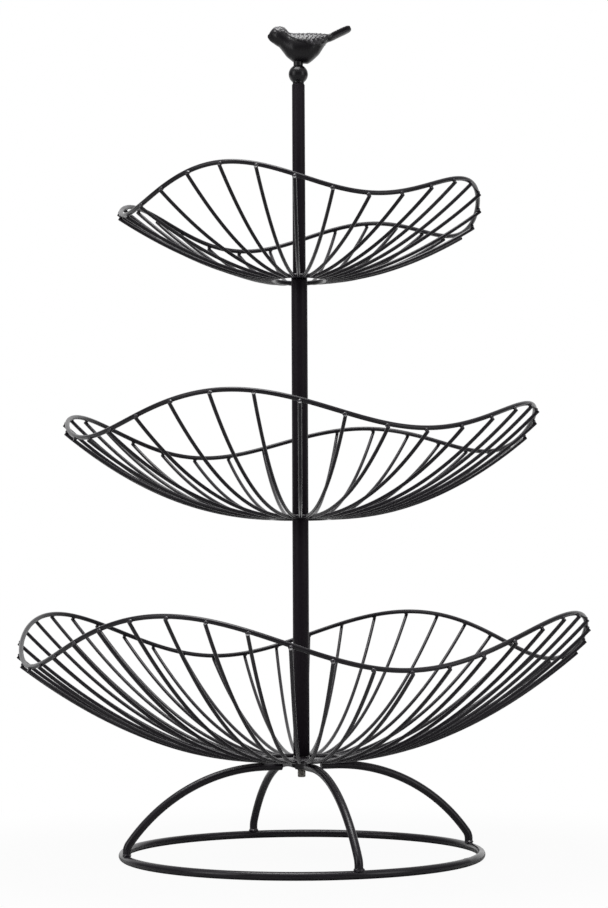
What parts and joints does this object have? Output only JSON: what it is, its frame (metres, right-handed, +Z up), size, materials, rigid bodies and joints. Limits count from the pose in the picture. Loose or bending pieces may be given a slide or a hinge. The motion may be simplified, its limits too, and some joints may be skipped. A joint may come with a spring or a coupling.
{
  "type": "three-tier shelf stand",
  "caption": "Black wire stand for fruit or small goods: wavy round bowls of radial ribs on a slim pole, a bowed wire foot on a ground ring, and a bird finial.",
  "frame": {"origin": "centre of the base ring at table level, on the pole's axis", "axes": "+Z up along the pole, -Y to the front, the bird looks towards -X"},
  "size_m": [0.3496, 0.3496, 0.5152],
  "materials": {
    "black_powder_coat": "satin",
    "cast_black": "satin",
    "bare_steel": "zinc plated"
  },
  "bodies": {
    "stand": {"base_ring": "black_powder_coat", "leg_1": "black_powder_coat", "leg_2": "black_powder_coat", "leg_3": "black_powder_coat", "leg_4": "black_powder_coat", "base_plate": "black_powder_coat", "lower_nut": "black_powder_coat", "bottom_stud": "bare_steel", "lower_pole": "black_powder_coat", "lower_pole_lower_plug": "bare_steel", "lower_pole_upper_plug": "bare_steel", "middle_stud": "bare_steel", "middle_pole": "black_powder_coat", "middle_pole_lower_plug": "bare_steel", "middle_pole_upper_plug": "bare_steel", "top_stud": "bare_steel", "upper_pole": "black_powder_coat", "upper_pole_lower_plug": "bare_steel", "upper_pole_upper_plug": "bare_steel", "finial_stud": "bare_steel"},
    "bottom_basket": {"bottom_rim": "black_powder_coat", "bottom_ribs": "black_powder_coat", "bottom_hub_strap": "black_powder_coat"},
    "middle_basket": {"middle_rim": "black_powder_coat", "middle_ribs": "black_powder_coat", "middle_hub_strap": "black_powder_coat"},
    "top_basket": {"top_rim": "black_powder_coat", "top_ribs": "black_powder_coat", "top_hub_strap": "black_powder_coat"},
    "finial": {"finial_ball": "cast_black", "finial_bird": "cast_black"}
  },
  "joints": [
    {"name": "bottom_basket_turn", "type": "hinge", "parent": "stand", "child": "bottom_basket", "pos_m": [0, 0, 0.0604], "axis": [0, 0, 1], "continuous": true},
    {"name": "middle_basket_turn", "type": "hinge", "parent": "stand", "child": "middle_basket", "pos_m": [0, 0, 0.2079], "axis": [0, 0, 1], "continuous": true},
    {"name": "top_basket_turn", "type": "hinge", "parent": "stand", "child": "top_basket", "pos_m": [0, 0, 0.356], "axis": [0, 0, 1], "continuous": true},
    {"name": "finial_turn", "type": "hinge", "parent": "stand", "child": "finial", "pos_m": [0, 0, 0.4784], "axis": [0, 0, 1], "continuous": true}
  ]
}
